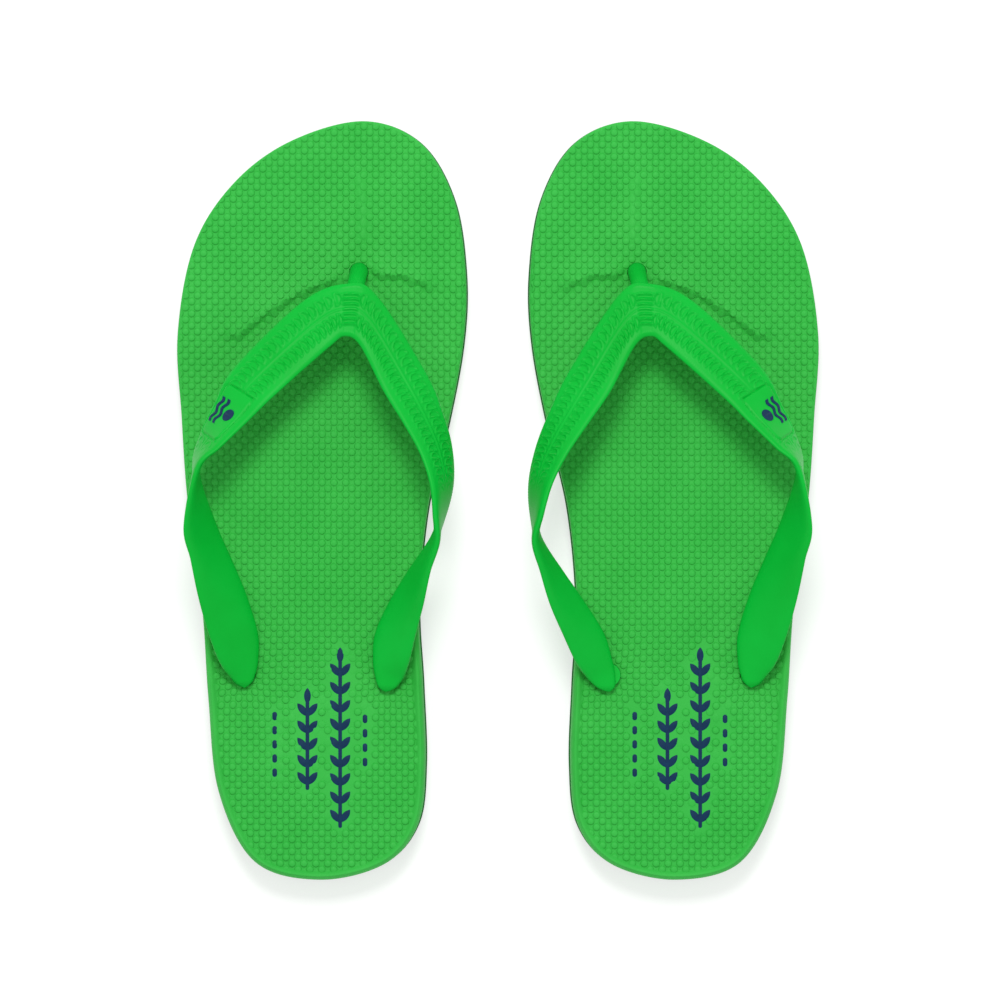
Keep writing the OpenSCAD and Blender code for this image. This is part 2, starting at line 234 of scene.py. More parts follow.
def closed_curve(anchors, steps):
    p = np.array(anchors, float)
    n = len(p)
    return np.array([
        catmull_rom(p[i - 1], p[i], p[(i + 1) % n], p[(i + 2) % n], s / steps)
        for i in range(n) for s in range(steps)
    ])


def open_curve(anchors, steps):
    p = np.array(anchors, float)
    n = len(p)
    points = [
        catmull_rom(p[max(0, i - 1)], p[i], p[i + 1], p[min(n - 1, i + 2)], s / steps)
        for i in range(n - 1) for s in range(steps)
    ]
    return np.array(points + [p[-1]])


def unit(v):
    return v / np.linalg.norm(v, axis=-1, keepdims=True)


outline = closed_curve(OUTLINE_ANCHORS, OUTLINE_STEPS)
outline_middle = (outline.min(0) + outline.max(0)) / 2
sole_low, sole_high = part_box("right_footbed")
SHIFT_X = (sole_low.x + sole_high.x) / 2 / MM - outline_middle[0]
SHIFT_Y = (sole_low.y + sole_high.y) / 2 / MM - outline_middle[1]
outline_along = unit(np.roll(outline, -1, 0) - np.roll(outline, 1, 0))
outline_inwards = np.stack([outline_along[:, 1], -outline_along[:, 0]], 1)


def footbed_top(y):
    climb = smooth((TOE_LEVEL_START - y) / (TOE_LEVEL_START - HEEL_LEVEL_END))
    return TOE_HEIGHT + (HEEL_HEIGHT - TOE_HEIGHT) * climb


def rim_share(y):
    return smooth((RIM_END - y) / (RIM_END - RIM_FULL_END))


def distance_inside(points):
    """Distance of each point to the outline, positive inside it."""
    after = np.roll(outline, -1, 0)
    edge = after - outline
    offset = points[:, None] - outline[None]
    share = np.clip((offset * edge).sum(2) / (edge * edge).sum(1), 0, 1)
    gap = np.linalg.norm(offset - share[..., None] * edge, axis=2).min(1)
    above = (outline[:, 1] > points[:, 1, None]) != (after[:, 1] > points[:, 1, None])
    slope = edge[:, 0] / np.where(edge[:, 1] == 0, 1, edge[:, 1])
    crossing = outline[:, 0] + (points[:, 1, None] - outline[:, 1]) * slope
    inside = (above & (points[:, 0, None] < crossing)).sum(1) % 2 == 1
    return np.where(inside, gap, -gap)


def grip_heights(points):
    """Height of the toe grips at each point, and the share of the bumps left there."""
    height = np.zeros(len(points))
    bumps_left = np.ones(len(points))
    for anchors, toe_reach, heel_reach, crest, left_over in TOE_GRIPS:
        path = open_curve(anchors, 24)
        offset = points[:, None] - path[None]
        gaps = np.linalg.norm(offset, axis=2)
        nearest = gaps.argmin(1)
        gap = gaps.min(1)
        behind = offset[np.arange(len(points)), nearest, 1] < 0
        reach = np.where(behind, heel_reach, toe_reach)
        along = nearest / (len(path) - 1)
        fade = smooth(np.minimum(along, 1 - along) * 4 + 0.25)
        share = np.exp(-((gap / reach) ** 2)) * fade
        height = np.maximum(height, crest * share)
        bumps_left = np.minimum(bumps_left, 1 - (1 - left_over) * share)
    return height, bumps_left


def footbed_surface(points):
    """Height of the footbed between the bumps."""
    height = footbed_top(points[:, 1]) + grip_heights(points)[0]
    for hole in (INNER_HOLE, OUTER_HOLE):
        gap = np.linalg.norm(points - hole, axis=1)
        height -= DIMPLE_DEPTH * np.exp(-((gap / DIMPLE_REACH) ** 2))
    return height


# Mesh helpers

def place(points, side):
    """Millimetres on a right sandal to metres in the row frame."""
    p = np.array(points, float)
    return np.stack([side * (p[:, 0] + SHIFT_X), p[:, 1] + SHIFT_Y, p[:, 2]], 1) * MM


def new_object(name, points, faces, side):
    """A mesh object of one sandal. Faces go anticlockwise seen from outside, on the right sandal."""
    order = faces if side == RIGHT else [face[::-1] for face in faces]
    mesh = bpy.data.meshes.new(name)
    mesh.vertices.add(len(points))
    mesh.vertices.foreach_set("co", place(points, side).ravel())
    counts = np.array([len(face) for face in order])
    mesh.loops.add(int(counts.sum()))
    mesh.loops.foreach_set("vertex_index", np.concatenate([np.asarray(face) for face in order]))
    mesh.polygons.add(len(order))
    mesh.polygons.foreach_set("loop_start", np.concatenate([[0], np.cumsum(counts)[:-1]]))
    mesh.update(calc_edges=True)
    piece = bpy.data.objects.new(name, mesh)
    bpy.context.scene.collection.objects.link(piece)
    return piece


def joined(parts):
    """Several (points, faces) as one."""
    points, faces, start = [], [], 0
    for part_points, part_faces in parts:
        points.extend(part_points)
        faces.extend([[start + i for i in face] for face in part_faces])
        start += len(part_points)
    return np.array(points), faces


def ring_solid(rings):
    """A closed solid through rings of points. Seen from the last ring, they go round anticlockwise."""
    sides = len(rings[0])
    points = np.concatenate([np.asarray(ring, float) for ring in rings])
    faces = []
    for r in range(len(rings) - 1):
        low, high = r * sides, (r + 1) * sides
        for s in range(sides):
            after = (s + 1) % sides
            faces.append([low + s, low + after, high + after, high + s])
    faces.append(list(range(sides))[::-1])
    faces.append([(len(rings) - 1) * sides + s for s in range(sides)])
    return points, faces


def upright_cylinder(middle, radius, low, high, sides=64):
    turn = np.arange(sides) * 2 * math.pi / sides
    x = middle[0] + radius * np.cos(turn)
    y = middle[1] + radius * np.sin(turn)
    return ring_solid([np.stack([x, y, np.full(sides, z)], 1) for z in (low, high)])


def combine(piece, other, operation):
    """Cuts piece by other, or joins them, and removes other."""
    change = piece.modifiers.new("combine", "BOOLEAN")
    change.operation = operation
    change.solver = "MANIFOLD"
    change.object = other
    graph = bpy.context.evaluated_depsgraph_get()
    result = bpy.data.meshes.new_from_object(piece.evaluated_get(graph))
    piece.modifiers.clear()
    old = piece.data
    piece.data = result
    bpy.data.meshes.remove(old)
    bpy.data.meshes.remove(other.data)


def finished(piece, side, node, material, sharp_degrees):
    """Shades a piece, gives it its material, ties it to its sandal, and hides the CAD part it stands for."""
    piece.data.shade_smooth()
    piece.data.set_sharp_from_angle(angle=math.radians(sharp_degrees))
    piece.data.materials.clear()
    piece.data.materials.append(material)
    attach(piece, SIDE_NAMES[side] + "_sandal")
    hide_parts(SIDE_NAMES[side] + "_" + node)


# Footbed

def bump_lattice():
    """Centres of all cells that reach the sole."""
    low, high = outline.min(0) - 4, outline.max(0) + 4
    centres = []
    for row in range(int(low[1] // BUMP_ROW), int(high[1] // BUMP_ROW) + 1):
        shift = BUMP_PITCH / 2 * (row % 2)
        for column in range(int(low[0] // BUMP_PITCH) - 1, int(high[0] // BUMP_PITCH) + 2):
            centres.append((column * BUMP_PITCH + shift, row * BUMP_ROW))
    centres = np.array(centres)
    return centres[distance_inside(centres) > -5]


def stitched(inner, outer, inner_angles, outer_angles):
    """Triangles between two loops of points round the same middle."""
    faces, i, o = [], 0, 0
    while i < len(inner) or o < len(outer):
        next_inner = inner_angles[(i + 1) % len(inner)] + (2 * math.pi if i + 1 >= len(inner) else 0)
        next_outer = outer_angles[(o + 1) % len(outer)] + (2 * math.pi if o + 1 >= len(outer) else 0)
        a, b = inner[i % len(inner)], outer[o % len(outer)]
        if o >= len(outer) or (i < len(inner) and next_inner <= next_outer):
            faces.append([a, b, inner[(i + 1) % len(inner)]])
            i += 1
        else:
            faces.append([a, b, outer[(o + 1) % len(outer)]])
            o += 1
    return faces


def cell_corners():
    """The eight points of a cell's boundary, anticlockwise from +x."""
    x, y = BUMP_PITCH / 2, BUMP_ROW
    return np.array([
        (x, 0), (x / 2, y / 2), (0, y), (-x / 2, y / 2), (-x, 0), (-x / 2, -y / 2), (0, -y), (x / 2, -y / 2),
    ])


def bump_cell():
    """A cell with a bump: (flat points, shares of its height, faces). It starts with its boundary."""
    corners = cell_corners()
    turn = np.arange(BUMP_SIDES) * 2 * math.pi / BUMP_SIDES
    points = [corners]
    heights = [np.zeros(8)]
    loops = []
    start = 8
    for radius, share in BUMP_RINGS:
        points.append(np.stack([radius * np.cos(turn), radius * np.sin(turn)], 1))
        heights.append(np.full(BUMP_SIDES, share))
        loops.append(list(range(start, start + BUMP_SIDES)))
        start += BUMP_SIDES
    faces = [loops[0]]
    for inner, outer in zip(loops, loops[1:]):
        for s in range(BUMP_SIDES):
            after = (s + 1) % BUMP_SIDES
            faces.append([inner[s], outer[s], outer[after], inner[after]])
    corner_turn = np.arctan2(corners[:, 1], corners[:, 0]) % (2 * math.pi)
    faces += stitched(loops[-1], list(range(8)), turn, corner_turn)
    return np.concatenate(points), np.concatenate(heights), faces


def flat_cell():
    points = np.concatenate([cell_corners(), [(0, 0)]])
    return points, np.zeros(9), [[s, (s + 1) % 8, 8] for s in range(8)]


def pulled(points):
    """Moves points towards the necks of the strap, most a little way outside them."""
    moved = points.copy()
    for hole in (INNER_HOLE, OUTER_HOLE):
        offset = points - hole
        gap = np.linalg.norm(offset, axis=1, keepdims=True)
        moved -= offset / np.maximum(gap, 1) * PULL * np.exp(-((gap / PULL_REACH) ** 2))
    return moved


def clearing(gap, start_and_reach):
    """0 up to a start, then rising to 1 over a reach."""
    start, reach = start_and_reach
    return smooth((gap - start) / reach)


def bump_shares(centres, side):
    """How much of its height each bump keeps."""
    share = grip_heights(centres)[1]
    edge_gap = distance_inside(centres)
    share = share * (1 - rim_share(centres[:, 1]) * (1 - clearing(edge_gap, EDGE_CLEARING)))
    gap = np.linalg.norm(centres - TOE_HOLE, axis=1)
    share = share * clearing(gap, POST_CLEARING)
    marks = print_lines(side)
    gap = np.linalg.norm(centres[:, None] - marks[None], axis=2).min(1)
    return share * clearing(gap, PRINT_CLEARING)


def bump_slab(side):
    """The bumped top of the footbed as a deep slab that reaches past the outline."""
    centres = bump_lattice()
    shares = bump_shares(centres, side)
    bumped, flat = bump_cell(), flat_cell()
    flat_points, lifts, faces, loops = [], [], [], []
    start = 0
    for centre, share in zip(centres, shares):
        points, heights, cell_faces = bumped if share > LOWEST_BUMP else flat
        flat_points.append(points + centre)
        lifts.append(heights * share * BUMP_HEIGHT)
        faces.extend([[start + i for i in face] for face in cell_faces])
        loops.append(np.arange(start, start + 8))
        start += len(points)
    flat_points = np.concatenate(flat_points)
    lifts = np.concatenate(lifts)
    keys = np.round(flat_points / (BUMP_PITCH / 4, BUMP_ROW / 2) * 64).astype(int)
    _, first, same = np.unique(keys, axis=0, return_index=True, return_inverse=True)
    same = same.ravel()
    flat_points, lifts = pulled(flat_points[first]), lifts[first]
    faces = [[int(same[i]) for i in face] for face in faces]
    count = len(flat_points)
    top = np.column_stack([flat_points, footbed_surface(flat_points) + lifts])
    base = np.column_stack([flat_points, np.zeros(count)])
    edges = {}
    for loop in loops:
        ring = same[loop]
        faces.append([int(i) + count for i in ring[::-1]])
        for a, b in zip(ring, np.roll(ring, -1)):
            edges[(int(a), int(b))] = True
    for a, b in edges:
        if (b, a) not in edges:
            faces.append([a + count, b + count, b, a])
    used = np.unique(np.concatenate([np.asarray(face) for face in faces]))
    renumbered = np.full(2 * count, -1)
    renumbered[used] = np.arange(len(used))
    return np.concatenate([top, base])[used], [[int(renumbered[i]) for i in face] for face in faces]


def inset_ring(inset, heights):
    """The outline moved inwards, by one distance or by one for each point."""
    flat = outline + np.broadcast_to(inset, len(outline))[:, None] * outline_inwards
    return np.column_stack([flat, heights])


def footbed_blank():
    """The footbed's wall and its edge, sharp at the toe and round at the heel. Its lid clears the bumps."""
    top = footbed_top(outline[:, 1])
    round_share = rim_share(outline[:, 1])
    low_wall = [(1.0, 0), (0.65, 0.9), (EDGE_STEP, 2.2)]
    # Drop below the top, inset at the toe, inset at the heel.
    edge = [
        (3.2, 0, 0), (2.3, 0, 0.1), (1.4, 0.05, 0.4), (0.65, 0.15, 0.85),
        (0.2, 0.4, 1.4), (0, 0.7, 2.0), (-0.7, 1.3, 2.8), (-4, 3, 4.5),
    ]
    rings = [inset_ring(inset, np.full(len(outline), OUTSOLE_TOP + rise)) for inset, rise in low_wall]
    rings += [
        inset_ring(EDGE_STEP + at_toe + (at_heel - at_toe) * round_share, top - drop)
        for drop, at_toe, at_heel in edge
    ]
    lid = rings[-1][:, :2]
    middle = np.array([0, 150])
    for share in (0.7, 0.4, 0.1):
        flat = middle + share * (lid - middle)
        rings.append(np.column_stack([flat, footbed_top(flat[:, 1]) + 4]))
    return ring_solid([ring[::-1] for ring in rings])


def heel_rim():
    """The smooth raised rim round the heel. It sinks into the footbed towards the toe."""
    share = rim_share(outline[:, 1])
    top = footbed_top(outline[:, 1])
    section = [
        (4, -4, 0), (0.4, -4, 0), (0.1, -3.2, 0), (0.03, -2.4, 0.05), (0.22, -1.6, 0.35), (0.6, -0.9, 0.65),
        (1.1, -0.4, 0.88), (1.6, -0.1, 1), (2.1, 0, 0.92), (2.7, 0, 0.6), (3.3, -0.05, 0.25), (4, -0.3, 0),
    ]
    rings = []
    for i in range(len(outline)):
        flat = [outline[i] + (EDGE_STEP + inset) * outline_inwards[i] for inset, _, _ in section]
        sunk = (1 - share[i]) * 0.5
        heights = [top[i] + drop + raised * share[i] * RIM_HEIGHT - sunk for _, drop, raised in section]
        rings.append(np.column_stack([flat, heights]))
    count, sides = len(rings), len(section)
    faces = []
    for i in range(count):
        low, high = i * sides, (i + 1) % count * sides
        for s in range(sides):
            after = (s + 1) % sides
            faces.append([low + s, low + after, high + after, high + s])
    return np.concatenate(rings), faces


def make_footbed(side, material):
    name = SIDE_NAMES[side]
    footbed = new_object(name + "_foam_footbed", *bump_slab(side), side)
    combine(footbed, new_object("blank", *footbed_blank(), side), "INTERSECT")
    combine(footbed, new_object("rim", *heel_rim(), side), "UNION")
    radii = [POST_RADIUS, NECK_RADIUS, NECK_RADIUS]
    bores = joined([
        upright_cylinder(hole, radius + HOLE_GAP, -5, 40) for hole, radius in zip(HOLES, radii)
    ])
    combine(footbed, new_object("bores", *bores, side), "DIFFERENCE")
    finished(footbed, side, "footbed", material, 42)


# Heel print

def frond_leaves(frond):
    """Root and angle of every leaf of a frond."""
    x, start, length, pairs = frond
    pitch = (length - LEAF_LENGTH) / pairs
    leaves = [((x, start + length - LEAF_LENGTH), 0)]
    for pair in range(pairs):
        root = (x, start + (pair + 0.3) * pitch)
        leaves += [(root, -LEAF_ANGLE), (root, LEAF_ANGLE)]
    return leaves


def along_y(root, degrees, reach):
    """The point at a distance from root, in the direction of +y turned by degrees."""
    turn = math.radians(degrees)
    return np.array([root[0] - reach * math.sin(turn), root[1] + reach * math.cos(turn)])


def on_print(points, side):
    """The print reads the same way on both sandals, so on the left one it is mirrored back."""
    p = np.array(points, float)
    p[:, 0] = side * (p[:, 0] + PRINT_OFFSETS[side])
    return p


def print_lines(side):
    """Points along the middle of every mark."""
    lines = []
    for frond in FRONDS:
        x, start, length, _ = frond
        lines += [(x, y) for y in np.arange(start, start + length, 1.0)]
        for root, degrees in frond_leaves(frond):
            lines += [along_y(root, degrees, reach) for reach in np.linspace(1, LEAF_LENGTH, 5)]
    for x, start, length, _ in DASH_ROWS:
        lines += [(x, y) for y in np.arange(start, start + length, 1.0)]
    return on_print(lines, side)


def bar_shape(x, start, length, width):
    turn = np.linspace(0, math.pi, 9)
    end = np.stack([np.cos(turn), np.sin(turn)], 1) * width / 2
    return np.concatenate([end + (x, start + length - width / 2), -end + (x, start + width / 2)])


def leaf_shape(root, degrees):
    radius = (LEAF_LENGTH**2 + LEAF_WIDTH**2) / (4 * LEAF_WIDTH)
    reach = math.asin(LEAF_LENGTH / 2 / radius)
    turn = np.linspace(-reach, reach, 11)[:-1]
    edge = radius * np.stack([np.cos(turn), np.sin(turn)], 1) + (LEAF_WIDTH / 2 - radius, LEAF_LENGTH / 2)
    other = (0, LEAF_LENGTH) - edge
    lens = np.concatenate([edge, other])
    c, s = math.cos(math.radians(degrees)), math.sin(math.radians(degrees))
    return lens @ np.array([[c, s], [-s, c]]) + root


def mark_solid(flat, side, top):
    """A thin slip of ink with a softened edge."""
    shape = on_print(flat, side)
    if side == LEFT:
        shape = shape[::-1]
    middle = shape.mean(0)
    inner = middle + (shape - middle) * 0.96
    return ring_solid([
        np.column_stack([shape, np.full(len(shape), HEEL_HEIGHT - 0.3)]),
        np.column_stack([shape, np.full(len(shape), top - 0.03)]),
        np.column_stack([inner, np.full(len(shape), top)]),
    ])


def make_heel_print(side, material):
    # Each mark has its outline and its level. Marks that cross lie on different levels.
    marks = []
    lowest, level_step = HEEL_HEIGHT + 0.06, 0.03
    for frond in FRONDS:
        x, start, length, _ = frond
        marks.append((bar_shape(x, start, length - LEAF_LENGTH / 2, STEM_WIDTH), 2))
        marks += [(leaf_shape(root, degrees), int(degrees > 0)) for root, degrees in frond_leaves(frond)]
    for x, start, length, count in DASH_ROWS:
        pitch = length / count
        marks += [(bar_shape(x, start + i * pitch, pitch * DASH_SHARE, DASH_WIDTH), 0) for i in range(count)]
    slips = [mark_solid(shape, side, lowest + level_step * level) for shape, level in marks]
    print_piece = new_object(SIDE_NAMES[side] + "_leaf_print", *joined(slips), side)
    finished(print_piece, side, "heel_print", material, 30)


# Outsole

def box_solid(low, high):
    (x0, y0, z0), (x1, y1, z1) = low, high
    return ring_solid([[(x0, y0, z), (x1, y0, z), (x1, y1, z), (x0, y1, z)] for z in (z0, z1)])


def make_outsole(side, material):
    profile = [(1.0, 0), (0.45, 0.35), (0.15, 1.0), (0.0, 2.2), (0.0, 3.2), (0.25, 3.75), (0.7, 4)]
    share = OUTSOLE_TOP / profile[-1][1]
    rings = [inset_ring(inset, np.full(len(outline), height * share)) for inset, height in profile]
    body = ring_solid([ring[::-1] for ring in rings])
    outsole = new_object(SIDE_NAMES[side] + "_treaded_outsole", *body, side)
    width = np.abs(outline[:, 0]).max() + 5
    cuts = []
    clear = DISC_RADIUS + GROOVE_WIDTH
    for y in np.arange(GROOVE_ENDS[0], GROOVE_ENDS[1] + 1, GROOVE_PITCH):
        if min(abs(y - hole[1]) for hole in HOLES) > clear:
            low, high = (-width, y - GROOVE_WIDTH / 2, -1), (width, y + GROOVE_WIDTH / 2, GROOVE_DEPTH)
            cuts.append(box_solid(low, high))
    cuts += [upright_cylinder(hole, DISC_RADIUS + HOLE_GAP, -1, OUTSOLE_TOP + 5) for hole in HOLES]
    combine(outsole, new_object("cuts", *joined(cuts), side), "DIFFERENCE")
    finished(outsole, side, "outsole", material, 35)


# Strap

def bowed(rail, side):
    """The inner arm's rail, bowed inwards."""
    point, spread = BOW_PLACE
    share = np.exp(-(((np.arange(len(rail)) - point) / spread) ** 2))
    return np.array(rail, float) - share[:, None] * (INNER_BOWS[side], 0, 0)


class StrapPath:
    """The strap's two rails as functions of the distance from the apex: negative on the inner arm."""

    STEPS = 40

    def __init__(self, side):
        rails = []
        anchors = [(INNER_UPPER, APEX_UPPER, OUTER_UPPER), (INNER_LOWER, APEX_LOWER, OUTER_LOWER)]
        for inner, apex, outer in anchors:
            rail = open_curve(np.concatenate([bowed(inner, side)[::-1], [apex], outer]), self.STEPS)
            rail[:, 2] += footbed_top(rail[:, 1])
            rails.append(rail)
        self.upper, self.lower = rails
        middle = (self.upper + self.lower) / 2
        steps = np.linalg.norm(np.diff(middle, axis=0), axis=1)
        self.distance = np.concatenate([[0], np.cumsum(steps)])
        self.distance -= self.distance[len(INNER_UPPER) * self.STEPS]
        self.along = unit(np.gradient(middle, axis=0))
        self.plate_middle = self.distance[(len(INNER_UPPER) + PLATE_ANCHOR) * self.STEPS] + PLATE_SHIFT

    def at(self, distance):
        """Middle, half width, and the directions across and out of the outer face."""
        def read(table):
            return np.stack([np.interp(distance, self.distance, table[:, k]) for k in range(3)], -1)

        upper, lower, along = read(self.upper), read(self.lower), read(self.along)
        across = unit(upper - lower)
        out = unit(np.cross(across, along))
        return (upper + lower) / 2, np.linalg.norm(upper - lower, axis=-1) / 2, across, out


def edge_line(value, middle, width):
    """1 on a line, fading to 0 on both sides."""
    return np.exp(-(((value - middle) / width) ** 2))


def scales(s, t, half):
    """The two rows of half-moon scales on an arm, each a raised plate with a dished inside."""
    half_chord = 0.3 * half
    height = np.zeros_like(s)
    for row in (-1, 1):
        across = t - row * SCALE_ROWS * half
        for neighbour in (-1, 0, 1):
            chord_s = SCALE_START + SCALE_PITCH * (np.round((s - SCALE_START) / SCALE_PITCH) + neighbour)
            along = chord_s - s
            chord = across * math.cos(SCALE_LEAN) + along * math.sin(SCALE_LEAN)
            rise = along * math.cos(SCALE_LEAN) - across * math.sin(SCALE_LEAN)
            reach = np.hypot(chord / half_chord, rise / SCALE_BULGE)
            plate = smooth(rise / 0.4) * smooth((1 - reach) / 0.14)
            dish = smooth((rise - 0.4) / 1.1) * smooth((0.84 - reach) / 0.14)
            scale = (SCALE_HEIGHT * plate - SCALE_DISH * dish) * (chord_s >= SCALE_START - 0.01)
            height = np.where(np.abs(scale) > np.abs(height), scale, height)
    return height


def plate_gap(s, t, plate_middle):
    """Distance outside the rounded edge of the badge plate, negative on the plate."""
    along = np.abs(s - plate_middle) - (PLATE_LENGTH / 2 - PLATE_CORNER)
    across = np.abs(t - PLATE_OFFSET) - (PLATE_WIDTH / 2 - PLATE_CORNER)
    outside = np.hypot(np.maximum(along, 0), np.maximum(across, 0))
    return outside + np.minimum(np.maximum(along, across), 0) - PLATE_CORNER


def strap_relief(s, t, half, plate_middle):
    """Height of the embossing on the outer face."""
    distance = np.abs(s - RELIEF_MIDDLE)
    gap = plate_gap(s, t, plate_middle)
    wide_enough = smooth((half - 6.5) / 2)
    last = np.where(s > 0, plate_middle + PLATE_LENGTH / 2 + 14, RELIEF_END - 8)
    inside_edges = smooth((RELIEF_EDGE * half - np.abs(t)) / 0.6)
    field = inside_edges * wide_enough * smooth((last - distance) / 16) * smooth(gap / 0.6)
    spine = SPINE_HEIGHT * edge_line(t, 0, SPINE_WIDTH) * smooth((distance - BAR_REACH) / 1.5)
    bars = sum(edge_line(t, bar * BAR_PITCH, BAR_WIDTH) for bar in range(-3, 4)) - BAR_VALLEY
    bars *= BAR_HEIGHT * inside_edges * smooth(BAR_REACH + 0.6 - distance)
    ribs = 0.5 + 0.5 * np.cos(2 * math.pi * s / RIB_PITCH)
    ribs *= RIB_HEIGHT * edge_line(np.abs(t), RIB_PLACE * half, 0.7)
    ribs *= wide_enough * smooth((RELIEF_END - distance) / 6)
    plate = PLATE_HEIGHT * smooth(-gap / 0.4) - PLATE_GROOVE * edge_line(gap, 0.35, 0.42)
    return (spine + scales(distance, t, half)) * field + bars + ribs + plate


def face_rise(share):
    """Height of the strap's softly crowned face over its middle layer, at a share of its half width."""
    return STRAP_RISE * np.sqrt(1 - np.abs(share) ** CROWN_POWER)


def strap_band(path):
    """The band as rings. Each starts with the outer face and goes round by an edge and the back."""
    first, last = path.distance[0], path.distance[-1]
    distance = np.concatenate([
        np.arange(first, -RELIEF_END, COARSE_STEP),
        np.arange(-RELIEF_END, RELIEF_END, FINE_STEP),
        np.arange(RELIEF_END, last, COARSE_STEP),
        [last],
    ])
    middle, half, across, out = path.at(distance)
    half = half[:, None]
    face = np.linspace(-0.985, 0.985, FACE_POINTS)
    back = np.sin(np.linspace(1.4, -1.4, BACK_POINTS))
    face_t = face * half
    relief = strap_relief(distance[:, None] * np.ones_like(face), face_t, half, path.plate_middle)
    edge = np.zeros_like(half)
    t = np.concatenate([face_t, half, back * half, -half], axis=1)
    lift = np.concatenate([face_rise(face) + relief, edge, -face_rise(back) + edge, edge], axis=1)
    to_tip = np.minimum(distance - first, last - distance)
    lift *= np.sqrt(np.clip(to_tip / TIP_TAPER, 0.05, 1))[:, None]
    points = middle[:, None] + t[..., None] * across[:, None] + lift[..., None] * out[:, None]
    return ring_solid(list(points))


def swept_rod(route, radii, sides=32):
    """A round rod along a route, with its own radius at each point."""
    along = unit(np.gradient(route, axis=0))
    across = unit(np.array([1.0, 0, 0]) - along[:, :1] * along)
    back = np.cross(along, across)
    turn = np.arange(sides) * 2 * math.pi / sides
    return ring_solid([
        route[i] + radii[i] * (np.cos(turn)[:, None] * across[i] + np.sin(turn)[:, None] * back[i])
        for i in range(len(route))
    ])


def toe_post():
    """The post, straight in its hole and a little slimmer halfway up to the strap."""
    route = open_curve([(x, y, z + footbed_top(y)) for x, y, z in POST_ROUTE], 8)
    low = np.array([(TOE_HOLE[0], TOE_HOLE[1], z) for z in np.linspace(OUTSOLE_TOP - 1, route[0][2] - 1, 5)])
    route = np.concatenate([low, route])
    height = route[:, 2] - footbed_top(route[:, 1])
    radii = POST_RADIUS - 0.3 * edge_line(height, 11, 7)
    radii[height < 0] = POST_RADIUS
    return swept_rod(route, radii)


def retaining_disc(hole, sides=64):
    """A disc with a softened lower edge."""
    low = OUTSOLE_TOP - DISC_THICKNESS
    turn = np.arange(sides) * 2 * math.pi / sides
    circle = np.stack([np.cos(turn), np.sin(turn)], 1)
    profile = [(0.6, low), (0.15, low + 0.15), (0, low + 0.6), (0, OUTSOLE_TOP)]
    return ring_solid([
        np.column_stack([hole + (DISC_RADIUS - inset) * circle, np.full(sides, z)]) for inset, z in profile
    ])


def make_strap(side, path, material):
    strap = new_object(SIDE_NAMES[side] + "_moulded_strap", *strap_band(path), side)
    extras = [toe_post()]
    for hole in (INNER_HOLE, OUTER_HOLE):
        extras.append(upright_cylinder(hole, NECK_RADIUS, OUTSOLE_TOP - 1, footbed_top(hole[1]) + NECK_TOP))
    for extra in extras:
        combine(strap, new_object("extra", *extra, side), "UNION")
    for hole in HOLES:
        combine(strap, new_object("disc", *retaining_disc(hole), side), "UNION")
    finished(strap, side, "strap", material, 50)


# Emblem

def emblem_strip(path, stations, low, high):
    """A strip over the strap's face. Stations are rows of (s, t on one side, t on the other side)."""
    rings = []
    for s, t0, t1 in stations:
        middle, half, across, out = path.at(s)
        soft = 0.12 * np.sign(t1 - t0)
        t = np.array([t0, t1, t1, t1 - soft, t0 + soft, t0])
        lift = face_rise(t / half) + (low, low, high - 0.1, high, high, high - 0.1)
        rings.append(middle + t[:, None] * across + lift[:, None] * out)
    return ring_solid(rings)


def make_emblem(side, path, material):
    turn = np.linspace(0.02, math.pi - 0.02, 25)
    sun_s = path.plate_middle - SUN_RADIUS * np.cos(turn)
    sun_t = EMBLEM_OFFSET + SUN_HEIGHT
    sun_reach = SUN_RADIUS * np.sin(turn)
    outlines = [np.stack([sun_s, sun_t - sun_reach, sun_t + sun_reach], 1)]
    along = np.linspace(-0.5, 0.5, 41)
    for height in WAVE_HEIGHTS:
        wave_s = path.plate_middle + EMBLEM_LENGTH * along
        wave_t = EMBLEM_OFFSET + height + WAVE_SWING * np.sin(4 * math.pi * along)
        outlines.append(np.stack([wave_s, wave_t - WAVE_WIDTH / 2, wave_t + WAVE_WIDTH / 2], 1))
    emblem = joined([emblem_strip(path, stations, -0.2, 0.32) for stations in outlines])
    piece = new_object(SIDE_NAMES[side] + "_sun_emblem", *emblem, side)
    finished(piece, side, "emblem", material, 40)


# Materials

def srgb(red, green, blue):
    """Linear colour from 0-255 display values."""
    values = [v / 255 for v in (red, green, blue)]
    return tuple(v / 12.92 if v <= 0.04045 else ((v + 0.055) / 1.055) ** 2.4 for v in values) + (1,)


def node(tree, kind, **inputs):
    made = tree.nodes.new(kind)
    for key, value in inputs.items():
        made.inputs[key.replace("_", " ")].default_value = value
    return made


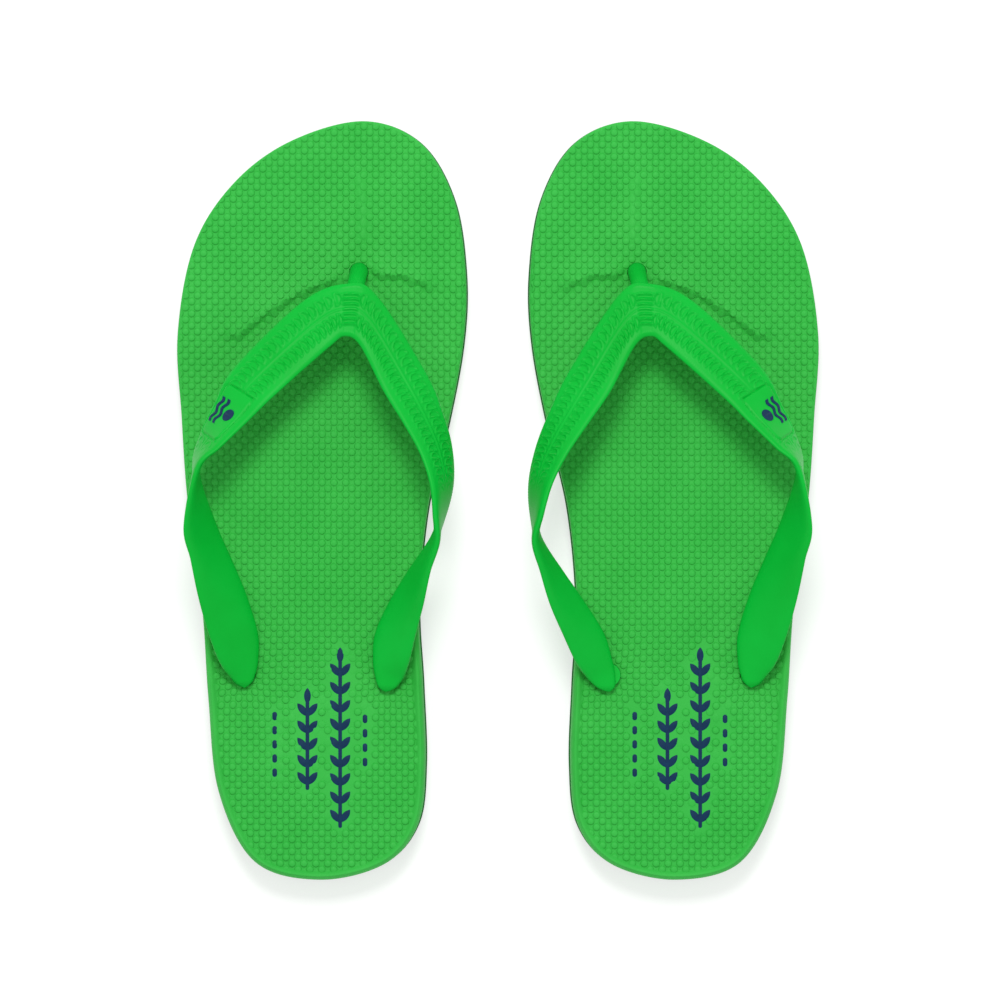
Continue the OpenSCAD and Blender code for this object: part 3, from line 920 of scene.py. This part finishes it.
def moulded(name, colours, roughness, patch_scale, grain_scale, grain_depth, specular):
    """Moulded foam or rubber: patches of two near shades, uneven gloss, and a fine grain."""
    material = bpy.data.materials.new(name)
    material.use_nodes = True
    tree = material.node_tree
    shader = tree.nodes["Principled BSDF"]
    shader.inputs["Specular IOR Level"].default_value = specular
    place_in = tree.nodes.new("ShaderNodeTexCoord")
    patches = node(tree, "ShaderNodeTexNoise", Scale=patch_scale, Detail=4.0, Roughness=0.6)
    grain = node(tree, "ShaderNodeTexNoise", Scale=grain_scale, Detail=3.0, Roughness=0.65)
    tree.links.new(place_in.outputs["Object"], patches.inputs["Vector"])
    tree.links.new(place_in.outputs["Object"], grain.inputs["Vector"])
    shades = tree.nodes.new("ShaderNodeValToRGB")
    shades.color_ramp.elements[0].position = 0.3
    shades.color_ramp.elements[0].color = srgb(*colours[0])
    shades.color_ramp.elements[1].position = 0.7
    shades.color_ramp.elements[1].color = srgb(*colours[1])
    tree.links.new(patches.outputs["Fac"], shades.inputs["Fac"])
    tree.links.new(shades.outputs["Color"], shader.inputs["Base Color"])
    gloss = node(tree, "ShaderNodeMapRange", From_Min=0.3, From_Max=0.7)
    gloss.inputs["To Min"].default_value, gloss.inputs["To Max"].default_value = roughness
    tree.links.new(grain.outputs["Fac"], gloss.inputs["Value"])
    tree.links.new(gloss.outputs["Result"], shader.inputs["Roughness"])
    bump = node(tree, "ShaderNodeBump", Strength=1.0, Distance=grain_depth * MM)
    tree.links.new(grain.outputs["Fac"], bump.inputs["Height"])
    tree.links.new(bump.outputs["Normal"], shader.inputs["Normal"])
    return material


foam = moulded("footbed_foam", [(44, 173, 61), (54, 181, 69)], (0.55, 0.72), 45, 1900, 0.05, 0.22)
# The outsole's darker green is painted shade. It stands in for the shaded sidewall, and it covers the
# underside too.
painted_shade_sole = moulded("outsole_painted_shade_foam", [(16, 96, 34), (24, 108, 42)], (0.6, 0.8), 60, 1500, 0.07, 0.2)
rubber = moulded("strap_rubber", [(0, 171, 47), (4, 181, 55)], (0.4, 0.5), 30, 2600, 0.02, 0.13)
ink = moulded("blue_ink", [(4, 42, 72), (8, 50, 84)], (0.45, 0.65), 400, 3000, 0.02, 0.15)


# The pair

for side in (LEFT, RIGHT):
    path = StrapPath(side)
    make_footbed(side, foam)
    make_heel_print(side, ink)
    make_outsole(side, painted_shade_sole)
    make_strap(side, path, rubber)
    make_emblem(side, path, ink)


# Stage, light and camera

def make_floor():
    reach = 3.0
    mesh = bpy.data.meshes.new("floor")
    corners = [(-reach, -reach, 0), (reach, -reach, 0), (reach, reach, 0), (-reach, reach, 0)]
    mesh.from_pydata(corners, [], [(0, 1, 2, 3)])
    floor = bpy.data.objects.new("floor", mesh)
    bpy.context.scene.collection.objects.link(floor)
    paint = bpy.data.materials.new("floor_white")
    paint.use_nodes = True
    shader = paint.node_tree.nodes["Principled BSDF"]
    shader.inputs["Base Color"].default_value = (0.5, 0.5, 0.5, 1)
    shader.inputs["Roughness"].default_value = 0.9
    shader.inputs["Specular IOR Level"].default_value = 0.1
    shader.inputs["Emission Color"].default_value = (1, 1, 1, 1)
    shader.inputs["Emission Strength"].default_value = 0.58
    mesh.materials.append(paint)


def area_light(name, location, size, power):
    lamp = bpy.data.lights.new(name, "AREA")
    lamp.shape = "SQUARE"
    lamp.size = size
    lamp.energy = power
    holder = bpy.data.objects.new(name, lamp)
    holder.location = location
    holder.rotation_mode = "QUATERNION"
    holder.rotation_quaternion = holder.location.to_track_quat("Z", "Y")
    bpy.context.scene.collection.objects.link(holder)


def make_lights():
    world = bpy.data.worlds.new("soft_white")
    bpy.context.scene.world = world
    world.use_nodes = True
    world.node_tree.nodes["Background"].inputs["Color"].default_value = (1, 1, 1, 1)
    world.node_tree.nodes["Background"].inputs["Strength"].default_value = 0.7
    area_light("softbox", (-0.04, 0.78, 1.65), 0.45, 18)


def make_camera():
    """Straight above the pair, with a long lens that frames a square this wide at the toes' height."""
    height = 2.2
    framed = 0.383
    aside = 0.0008
    lens = bpy.data.cameras.new("camera")
    lens.lens = lens.sensor_width * (height - TOE_HEIGHT * MM) / framed
    lens.clip_end = 20
    camera = bpy.data.objects.new("camera", lens)
    middle = (cad_low + cad_high) / 2
    camera.location = (middle.x + aside, middle.y, height)
    bpy.context.scene.collection.objects.link(camera)
    bpy.context.scene.camera = camera


make_floor()
make_lights()
make_camera()
bpy.context.scene.view_settings.view_transform = "Standard"
